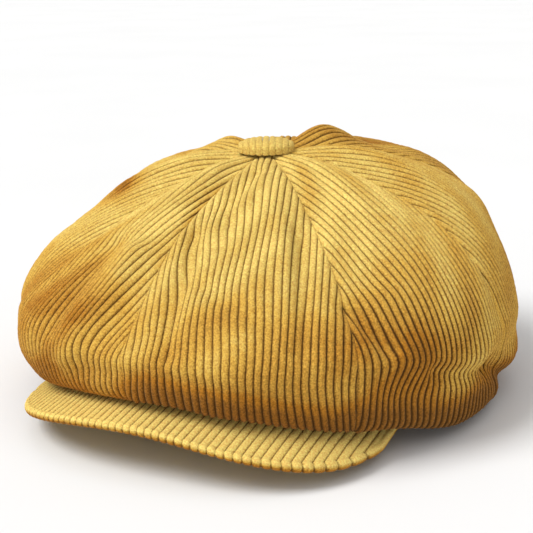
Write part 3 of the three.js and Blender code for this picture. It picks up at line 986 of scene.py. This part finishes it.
def sweatband_stitching():
    """A row of separate stitches, each a short thread that dips at both ends."""
    points, faces = [], []
    for i in range(STITCH_COUNT):
        centre, along, out = stitch_frame((i + 0.5) / STITCH_COUNT * 2 * math.pi)
        side = np.cross(along, out)
        base = len(points)
        for k in range(STITCH_STATIONS):
            s = k / (STITCH_STATIONS - 1) * 2 - 1
            lift = STITCH_RADIUS * (1 - s * s) * 0.9
            fat = STITCH_RADIUS * math.sqrt(max(0.0, 1 - s * s * 0.85))
            for j in range(STITCH_SIDES):
                a = 2 * math.pi * j / STITCH_SIDES
                points.append(centre + along * s * STITCH_LENGTH / 2
                              + out * (lift + fat * math.sin(a)) + side * fat * math.cos(a))
        for k in range(STITCH_STATIONS - 1):
            for j in range(STITCH_SIDES):
                a = base + k * STITCH_SIDES + j
                b = base + k * STITCH_SIDES + (j + 1) % STITCH_SIDES
                faces.append([a, b, b + STITCH_SIDES, a + STITCH_SIDES])
        last = base + (STITCH_STATIONS - 1) * STITCH_SIDES
        faces.append([base + j for j in reversed(range(STITCH_SIDES))])
        faces.append([last + j for j in range(STITCH_SIDES)])
    piece = mesh_piece("sweatband_stitches", np.array(points), faces, THREAD)
    finish_piece(piece, "cap", "sweatband_twill")


# ---------- the visor ----------
ROLL = 2.3
ROLL_DROP = 0.8
COVER_SHEET = 1.0


def visor_outline():
    """Plan of the visor's outermost line from the wearer's right tip, over the front, to the left."""
    across = np.sin(np.linspace(-1, 1, 1601) * math.pi / 2)
    turn = across * math.pi / 2
    sine = np.sign(across) * np.abs(np.sin(turn)) ** VISOR_CORNER
    cosine = np.maximum(0, np.cos(turn)) ** VISOR_CORNER
    x = VISOR_SHIFT + VISOR_HALF_WIDTH * sine
    y = VISOR_TIP_Y + (VISOR_FRONT_Y - VISOR_TIP_Y) * cosine
    root_x, root_y = oval(across * VISOR_TIP_ANGLE, HEADBAND_OUT + VISOR_CLEARANCE)
    reach = 0.35 + 0.65 * np.sqrt(np.maximum(0, 1 - np.abs(across) ** 10))
    return root_x + (x - root_x) * reach, root_y + (y - root_y) * reach


def drawn_in(x, y, distance):
    """The outline moved towards the visor's inside by a distance, with even steps."""
    run = run_along(x, y)
    even = np.linspace(0, run[-1], 1200)
    x, y = np.interp(even, run, x), np.interp(even, run, y)
    dx, dy = np.gradient(x), np.gradient(y)
    size = np.hypot(dx, dy)
    return x - dy / size * distance, y + dx / size * distance


def visor_grid(inset, tip_gap, rows):
    """Columns of points along the wales, from the sewn edge to the outline drawn in by inset."""
    rim_x, rim_y = visor_outline()
    x, y = drawn_in(rim_x, rim_y, inset)
    widest, left = int(np.argmax(x)), int(np.argmin(x))
    last = int(math.ceil(x[widest] / WALE))
    wales = np.arange(-last - 1, last + 1)
    xs = ((wales[:, None] + WALE_STOPS[None, :]) * WALE).ravel()
    rise = np.tile(WALE_RISE, len(wales))
    stand = np.repeat(np.arange(len(wales)) * len(WALE_STOPS) + 3, len(WALE_STOPS))
    inside = (xs < x[widest] - 0.2) & (xs > x[left] + 0.2)
    first = int(np.argmax(inside))
    xs, rise = xs[inside], rise[inside]
    stand = np.clip(stand[inside] - first, 0, len(xs) - 1)
    front = np.interp(xs, x[left:widest + 1], y[left:widest + 1])
    turn = np.linspace(-VISOR_TIP_ANGLE, VISOR_TIP_ANGLE, 801)
    root_x, root_y = oval(turn, HEADBAND_OUT + VISOR_CLEARANCE + tip_gap)
    back = np.interp(xs, root_x, root_y)
    tips = np.abs(xs) > root_x[-1]
    right_x, right_y = x[widest:][::-1], y[widest:][::-1]
    left_x, left_y = x[:left + 1][::-1], y[:left + 1][::-1]
    back = np.where(tips & (xs > 0), np.interp(xs, right_x, right_y), back)
    back = np.where(tips & (xs < 0), np.interp(-xs, -left_x, left_y), back)
    back = np.maximum(back, front + 0.5)
    share = np.linspace(0, 1, rows)[:, None]
    grid_y = back[None, :] + (front - back)[None, :] * share
    grid_x = np.broadcast_to(xs[None, :], grid_y.shape)
    return grid_x, grid_y, rise, stand, share


def outline_ids(ids, xs):
    """The grid's edge from one tip round the front to the other, leaving out the sewn edge."""
    root_half = oval(VISOR_TIP_ANGLE, HEADBAND_OUT + VISOR_CLEARANCE)[0]
    left_tip = [j for j in range(ids.shape[1]) if xs[j] < -root_half][::-1]
    right_tip = [j for j in range(ids.shape[1]) if xs[j] > root_half][::-1]
    loop = [ids[0, j] for j in left_tip]
    loop += ids[1:-1, 0].tolist() + ids[-1].tolist() + ids[1:-1, -1][::-1].tolist()
    loop += [ids[0, j] for j in right_tip]
    return np.array(loop)


def outline_normals(x, y, passes=6):
    """Outward directions along an open line that runs with its inside on the left."""
    dx, dy = np.gradient(x), np.gradient(y)
    size = np.maximum(np.hypot(dx, dy), 1e-9)
    nx, ny = dy / size, -dx / size
    for _ in range(passes):
        nx[1:-1] = (nx[:-2] + 2 * nx[1:-1] + nx[2:]) / 4
        ny[1:-1] = (ny[:-2] + 2 * ny[1:-1] + ny[2:]) / 4
    size = np.hypot(nx, ny)
    return nx / size, ny / size


def plate_middle(x, y):
    """Mid height of the visor's finished plate, which is thinner than its solid and lies low in it."""
    return visor_middle(x, y) - ROLL_DROP


def visor_unevenness(x, y):
    return 0.55 * soft_waves(x / 55, y / 150, 3, 7, (1, 4), (0.4, 2))


def bend_with_visor(piece):
    """Bakes the piece's transform into its mesh."""
    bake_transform(piece)


def over_grid(values, grid):
    """One value for each point of a grid, from a row or a column of them."""
    return np.broadcast_to(values, grid.shape).ravel()


def rolled_line(x, y, nx, ny, middle, reach, turn):
    """The outline carried part of the way round the visor's rolled edge."""
    return np.stack([x + nx * reach * math.sin(turn), y + ny * reach * math.sin(turn),
                     middle + reach * math.cos(turn)], 1)


def visor_top_cover():
    rows = 44
    x, y, rise, stand_column, share = visor_grid(ROLL, 0, rows)
    depth = 0.9 * (1 - rise)[None, :]
    crest = plate_middle(x, y) + ROLL + visor_unevenness(x, y) * smooth01(share, 0, 0.3)
    flat_outer = np.stack([x, y, crest - depth], 2)
    flat_inner = np.stack([x, y, crest - COVER_SHEET], 2)
    ids = grid_ids(*x.shape)
    loop = outline_ids(ids, x[0])
    flat_x, flat_y = x.ravel(), y.ravel()
    bx, by = flat_x[loop], flat_y[loop]
    nx, ny = outline_normals(bx, by)
    loop_rise = over_grid(rise, x)[loop]
    side = np.isin(loop, np.concatenate([ids[:, 0], ids[:, -1], ids[0]]))
    loop_rise = np.where(side, 0.9, loop_rise)
    lift = visor_unevenness(bx, by) * smooth01(over_grid(share, x)[loop], 0, 0.3)
    outer, inner, lines = [], [], [loop]
    turns = np.linspace(0, math.pi * 0.99, 13)[1:]
    base = x.size
    for turn in turns:
        fade = 1 - 0.45 * turn / math.pi
        middle = plate_middle(bx, by) + lift * (1 + math.cos(turn)) / 2
        reach = ROLL + 0.25 - 0.9 * (1 - loop_rise) * fade
        outer.append(rolled_line(bx, by, nx, ny, middle, reach, turn))
        inner.append(rolled_line(bx, by, nx, ny, middle, ROLL - COVER_SHEET, turn))
        lines.append(base + np.arange(len(loop)))
        base += len(loop)
    faces = grid_faces(ids) + grid_faces(np.stack(lines))
    outer = np.vstack([flat_outer.reshape(-1, 3)] + outer)
    inner = np.vstack([flat_inner.reshape(-1, 3)] + inner)
    stand = ids[:, stand_column].ravel()
    on_front = np.isin(loop, ids[-1]) & ~side
    position = {int(v): k for k, v in enumerate(loop)}
    loop_stand = np.array([position.get(int(stand[v]), k) if on_front[k] else k
                           for k, v in enumerate(loop)])
    stand = np.concatenate([stand] + [line[loop_stand] for line in lines[1:]])
    wale = np.concatenate([over_grid(rise, x)] + [0.2 + 0.8 * loop_rise] * len(turns))
    # the sides of the flat part and of the roll share their edge, so their stand-ins agree there
    for k, v in enumerate(loop):
        stand[v] = loop[loop_stand[k]]
    solid, solid_faces = closed_shell(outer, inner, faces, stand)
    wale = np.concatenate([wale, np.full(len(inner), 0.5)])
    # The roll's lower half turns dark brown: partly a worn edge and partly painted shade on its
    # underside. The flat top's tone keeps it at the palest gold, which is painted light on the visor.
    rolled = [np.full(len(loop), smooth01(turn, 0.9, 2.2)) for turn in turns]
    rolled = np.concatenate([np.zeros(x.size)] + rolled)
    rolled = np.concatenate([rolled, rolled])
    waves = soft_waves(solid[:, 0] / 40, solid[:, 1] / 90, 9, 9, (1, 5), (0.5, 3))
    tone = -0.10 + 0.80 * rolled + 0.06 * waves
    piece = mesh_piece("cloth_visor_top_cover", solid, solid_faces, CORDUROY, wale, tone)
    finish_piece(piece, None, "corduroy", "visor_top_cover")
    bend_with_visor(piece)


def visor_under_cover():
    rows = 30
    x, y, rise, stand_column, _ = visor_grid(ROLL + 0.3, 0, rows)
    level = plate_middle(x, y) - ROLL
    lift = 0.85 * (1 - rise)[None, :]
    outer = np.stack([x, y, level + lift], 2)
    inner = np.stack([x, y, level + COVER_SHEET], 2)
    ids = grid_ids(*x.shape)
    faces = [face[::-1] for face in grid_faces(ids)]
    solid, solid_faces = closed_shell(outer, inner, faces, ids[:, stand_column].ravel())
    wale = np.concatenate([over_grid(rise, x), np.full(x.size, 0.5)])
    tone = 0.16 + 0.06 * soft_waves(solid[:, 0] / 40, solid[:, 1] / 90, 19, 9, (1, 5), (0.5, 3))
    piece = mesh_piece("cloth_visor_under_cover", solid, solid_faces, CORDUROY, wale, tone)
    finish_piece(piece, None, "corduroy", "visor_under_cover")
    bend_with_visor(piece)


def visor_board():
    x, y = visor_grid(ROLL + 0.4, 0.6, 24)[:2]
    x, y = x[:, ::3], y[:, ::3]
    middle = plate_middle(x, y)
    top = np.stack([x, y, middle + 1], 2)
    bottom = np.stack([x, y, middle - 1], 2)
    ids = grid_ids(*x.shape)
    solid, faces = closed_shell(top, bottom, grid_faces(ids), ids.ravel())
    piece = mesh_piece("cloth_visor_board", solid, faces, board_material())
    finish_piece(piece, None, "visor_board", "visor_board")
    bend_with_visor(piece)


# ---------- the button ----------
BUTTON_PITCH = 3.5
BUTTON_TURN = math.radians(24)


def button_cover():
    """A flattened disc of corduroy, its wales running over the edge, tucked in underneath."""
    columns, rows = 220, 40
    angles = np.linspace(0, 2 * math.pi, columns, endpoint=False)
    turn = np.linspace(0, 1, rows) * math.pi * 0.62
    belly = BUTTON_HEIGHT * 0.34
    under = turn - math.pi / 2
    domed = BUTTON_RADIUS * np.sin(np.minimum(turn, math.pi / 2)) ** 0.9
    r = np.where(under <= 0, domed, BUTTON_RADIUS - 1.6 * (1 - np.cos(under)) * 2)
    domed = belly + BUTTON_HEIGHT * 0.64 * np.maximum(0, np.cos(turn)) ** 0.75
    z = np.where(under <= 0, domed, belly * (1 - np.sin(under / (math.pi * 0.12) * math.pi / 2)))
    r, z = r[:, None], z[:, None] + BUTTON_BASE
    x, y = r * np.sin(angles), -r * np.cos(angles)
    across = x * math.cos(BUTTON_TURN) + y * math.sin(BUTTON_TURN)
    phase = np.mod(across / BUTTON_PITCH + 0.5, 1)
    rise = np.sin(phase * math.pi) ** 0.5
    points = np.stack(np.broadcast_arrays(x, y, z), 2)
    outward = np.cross(np.gradient(points, axis=0), np.roll(points, -1, 1) - np.roll(points, 1, 1))
    outward = unit(outward)
    outward[0] = (0, 0, 1)
    points = points - outward * (0.75 * (1 - rise))[:, :, None]
    points[0] = points[0].mean(0)
    inner = points - outward * (1.0 + 0.3 * rise)[:, :, None]
    offset = np.array([0, CROWN_CENTRE_Y, 0])
    ids = grid_ids(rows, columns)
    ids[0] = ids[0, 0]
    ids = np.concatenate([ids, ids[:, :1]], 1)
    solid, faces = closed_shell(points + offset, inner + offset, grid_faces(ids),
                                np.arange(rows * columns))
    wale = np.concatenate([0.35 + 0.65 * rise.ravel(), np.full(rise.size, 0.5)])
    piece = mesh_piece("cloth_button_cover", solid, faces, CORDUROY, wale, np.full(wale.size, 0.10))
    finish_piece(piece, "cap", "corduroy", "button_cover")


def care_label():
    """A blank folded tape hanging from the sweatband's top edge, curling a little."""
    low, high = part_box("care_label")
    low, high = np.array(low) / MM, np.array(high) / MM
    rows, cols = 22, 26
    s = np.linspace(0, 1, rows)[:, None]
    t = np.linspace(0, 1, cols)[None, :]
    y = low[1] + (high[1] - low[1]) * t + 0.25 * np.sin(s * 5)
    z = high[2] + (low[2] - high[2]) * s + 0.3 * np.sin(t * 4) * s
    x = (low[0] + high[0]) / 2 - 1.6 * s ** 2 * (0.6 + 0.4 * np.cos(t * math.pi * 2))
    outer = np.stack(np.broadcast_arrays(x, y, z), 2)
    inner = outer + np.array([0.5, 0, 0])
    ids = grid_ids(rows, cols)
    faces = [face[::-1] for face in grid_faces(ids)]
    solid, solid_faces = closed_shell(outer, inner, faces, ids.ravel())
    piece = mesh_piece("blank_care_label", solid, solid_faces, label_material())
    finish_piece(piece, "cap", "label_cloth", "care_label")


# ---------- the studio ----------
def studio():
    mesh = bpy.data.meshes.new("studio_floor")
    far = 40
    corners = [(-far, -far, 0), (far, -far, 0), (far, far, 0), (-far, far, 0)]
    mesh.from_pydata(corners, [], [(0, 1, 2, 3)])
    mesh.materials.append(floor_material())
    floor = bpy.data.objects.new("studio_floor", mesh)
    bpy.context.collection.objects.link(floor)
    world = bpy.data.worlds.new("studio_world")
    world.use_nodes = True
    tree = world.node_tree
    background = tree.nodes["Background"]
    background.inputs["Color"].default_value = (1.0, 0.995, 0.985, 1)
    # as bright as the floor near the horizon, so that the two meet unseen, and dimmer overhead
    place = tree.nodes.new("ShaderNodeTexCoord")
    split = tree.nodes.new("ShaderNodeSeparateXYZ")
    fade = tree.nodes.new("ShaderNodeMapRange")
    fade.interpolation_type = "SMOOTHSTEP"
    for socket, value in zip(fade.inputs[1:5], (0.19, 0.30, 1.02, 0.31)):
        socket.default_value = value
    tree.links.new(place.outputs["Generated"], split.inputs[0])
    tree.links.new(split.outputs["Z"], fade.inputs[0])
    tree.links.new(fade.outputs[0], background.inputs["Strength"])
    bpy.context.scene.world = world
    soft_sun("key_light", (-0.58, -0.58, 1.05), 30, 2.25)
    soft_sun("top_light", (0.05, -0.30, 1.0), 80, 1.1)
    soft_sun("front_fill", (0.45, -0.9, 0.32), 60, 0.30)


def soft_sun(name, direction, spread, strength):
    """A broad, far-off soft light shining from a direction."""
    data = bpy.data.lights.new(name, "SUN")
    data.angle = math.radians(spread)
    data.energy = strength
    light = bpy.data.objects.new(name, data)
    light.location = Vector(direction)
    light.rotation_euler = Vector(direction).to_track_quat("Z", "Y").to_euler()
    bpy.context.collection.objects.link(light)


# ---------- assembly ----------
for panel in range(PANEL_COUNT):
    crown_panel(panel)
for panel in range(PANEL_COUNT):
    lining_panel(panel)
headband()
sweatband()
sweatband_stitching()
visor_top_cover()
visor_under_cover()
visor_board()
button_cover()
care_label()
dress("headband_stiffener", buckram_material())
STEEL = steel_material()
for metal in ("button_shell", "button_plate", "button_shank", "button_washer"):
    dress(metal, STEEL)
studio()
